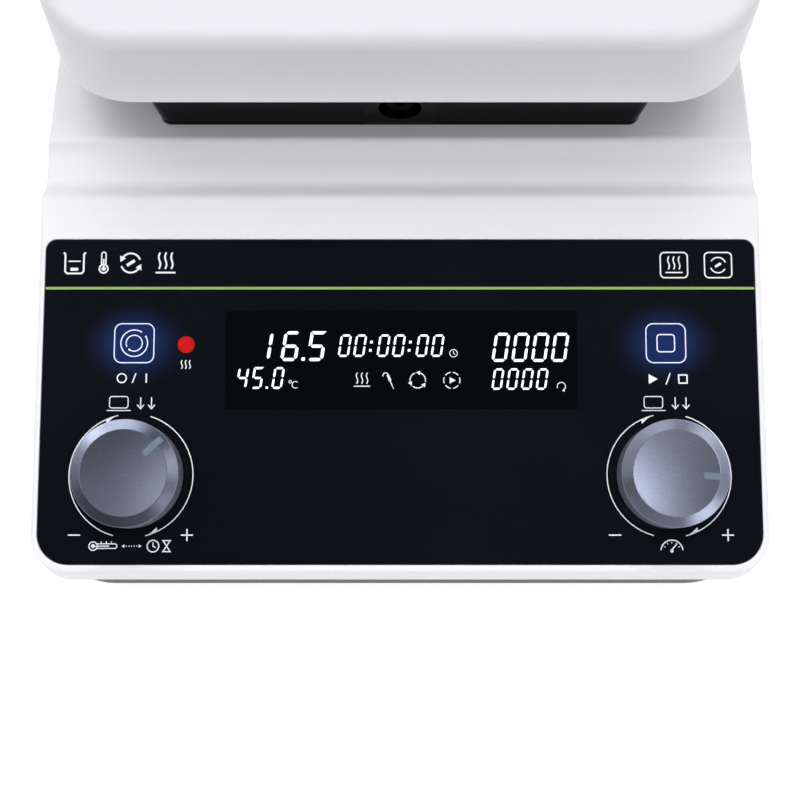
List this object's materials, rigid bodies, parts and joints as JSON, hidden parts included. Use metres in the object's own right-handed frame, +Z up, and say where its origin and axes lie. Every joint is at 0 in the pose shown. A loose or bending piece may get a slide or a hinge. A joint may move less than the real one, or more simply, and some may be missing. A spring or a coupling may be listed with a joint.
{
  "type": "magnetic stirrer hotplate",
  "caption": "Hot-plate magnetic stirrer: square white heated plate on a black support block, low housing with sloping black glass panel, display, push-and-turn knobs and lit keys.",
  "frame": {"origin": "on the bench under the middle of the housing's footprint", "axes": "+Z up, -Y towards the user at the control panel, +X to the user's right"},
  "size_m": [0.203, 0.328, 0.1013],
  "materials": {
    "housing_white": "white powder coat, semi-matt",
    "tray_grey": "moulded flame-retardant plastic, fine texture",
    "foot_rubber": "soft black rubber",
    "screw_steel": "zinc-plated",
    "panel_black_glass": "back-printed black glass, gloss",
    "gasket_foam": "closed-cell foam tape",
    "lcd": "negative liquid-crystal display",
    "diffuser": "frosted white light guide",
    "board_green": "glass-fibre board, green solder mask",
    "component_black": "moulded epoxy",
    "nickel": "nickel-plated",
    "lens_red": "tinted clear acrylic",
    "block_black": "gloss black high-temperature moulding",
    "pan_steel": "bright rolled sheet",
    "insulation": "pressed mineral board, dusty",
    "mica": "mica heater sandwich",
    "plate_ceramic": "aluminium with satin white ceramic coating",
    "motor_steel": "zinc-plated drawn can",
    "copper_winding": "enamelled copper",
    "carrier_nylon": "glass-filled nylon, natural",
    "magnet": "nickel-plated sintered magnet",
    "cap_sleeve": "shrink sleeve with aluminium end",
    "heatsink_alu": "extruded",
    "connector_black": "moulded, satin",
    "contact_gold": "gold-flashed brass",
    "wire_red": "silicone-sleeved cable",
    "transformer": "taped windings on a ferrite core",
    "knob_anodised": "anodised blue-grey, spun dish",
    "hub_plastic": "moulded",
    "key_blue": "tinted gloss key with lit outline",
    "carrier_grub": "black oxide"
  },
  "bodies": {
    "base": {"upper_housing": "housing_white", "base_tray": "tray_grey", "base_screws": "screw_steel", "rubber_feet": "foot_rubber", "foot_screws": "screw_steel", "panel_gasket": "gasket_foam", "panel_glass": "panel_black_glass", "lcd_glass": "lcd", "lcd_backlight": "diffuser", "control_board": "board_green", "control_components": "component_black", "encoder_bodies": "nickel", "encoder_nuts": "nickel", "tact_switches": "component_black", "key_light_guides": "diffuser", "hot_lamp_lens": "lens_red", "support_block": "block_black", "front_tie_screw": "screw_steel", "heat_shield_pan": "pan_steel", "insulation_board": "insulation", "heater_clamp": "pan_steel", "heater_element": "mica", "heating_plate": "plate_ceramic", "plate_screws": "screw_steel", "plate_sensor": "nickel", "motor_bracket": "pan_steel", "motor_can": "motor_steel", "motor_stator": "copper_winding", "motor_bearings": "nickel", "m3_screws": "screw_steel", "power_board": "board_green", "power_transformer": "transformer", "power_capacitors": "cap_sleeve", "triac_heatsink": "heatsink_alu", "mains_inlet": "connector_black", "mains_pins": "nickel", "rocker_housing": "connector_black", "probe_socket": "connector_black", "probe_contacts": "contact_gold", "rod_socket": "nickel", "cable_grommet": "foot_rubber", "wiring_harness": "wire_red"},
    "left_plunger": {"left_push_disc": "nickel"},
    "left_knob": {"left_encoder_shaft": "nickel", "left_knob_hub": "hub_plastic", "left_knob_cap": "knob_anodised"},
    "right_plunger": {"right_push_disc": "nickel"},
    "right_knob": {"right_encoder_shaft": "nickel", "right_knob_hub": "hub_plastic", "right_knob_cap": "knob_anodised"},
    "power_key": {"power_key": "key_blue"},
    "start_key": {"start_key": "key_blue"},
    "rotor": {"motor_shaft": "nickel", "motor_rotor": "motor_steel", "magnet_carrier": "carrier_nylon", "drive_magnets": "magnet", "carrier_screw": "carrier_grub"},
    "rocker": {"rocker_lever": "connector_black"},
    "fuse_drawer": {"fuse_drawer": "connector_black", "fuse": "nickel"}
  },
  "joints": [
    {"name": "left_knob_push", "type": "slide", "parent": "base", "child": "left_plunger", "axis": [0, 0.294, -0.9558], "range_m": [0, 0.0005], "stiffness_N_per_m": 1500, "springref_m": -0.0008},
    {"name": "left_knob_turn", "type": "hinge", "parent": "left_plunger", "child": "left_knob", "pos_m": [-0.0741, -0.13995, 0.03313], "axis": [0, -0.294, 0.9558], "continuous": true},
    {"name": "right_knob_push", "type": "slide", "parent": "base", "child": "right_plunger", "axis": [0, 0.294, -0.9558], "range_m": [0, 0.0005], "stiffness_N_per_m": 1500, "springref_m": -0.0008},
    {"name": "right_knob_turn", "type": "hinge", "parent": "right_plunger", "child": "right_knob", "pos_m": [0.0741, -0.13995, 0.03313], "axis": [0, -0.294, 0.9558], "continuous": true},
    {"name": "power_key_push", "type": "slide", "parent": "base", "child": "power_key", "axis": [0, 0.294, -0.9558], "range_m": [0, 0.0004], "stiffness_N_per_m": 200, "springref_m": -0.0006},
    {"name": "start_key_push", "type": "slide", "parent": "base", "child": "start_key", "axis": [0, 0.294, -0.9558], "range_m": [0, 0.0004], "stiffness_N_per_m": 200, "springref_m": -0.0006},
    {"name": "rotor_spin", "type": "hinge", "parent": "base", "child": "rotor", "pos_m": [0, 0.0464, 0.05], "axis": [0, 0, 1], "continuous": true},
    {"name": "rocker_tilt", "type": "hinge", "parent": "base", "child": "rocker", "pos_m": [0.024, 0.1588, 0.033], "axis": [1, 0, 0], "range_deg": [-20, 0]},
    {"name": "fuse_drawer_slide", "type": "slide", "parent": "base", "child": "fuse_drawer", "axis": [0, 1, 0], "range_m": [0, 0.016]}
  ]
}
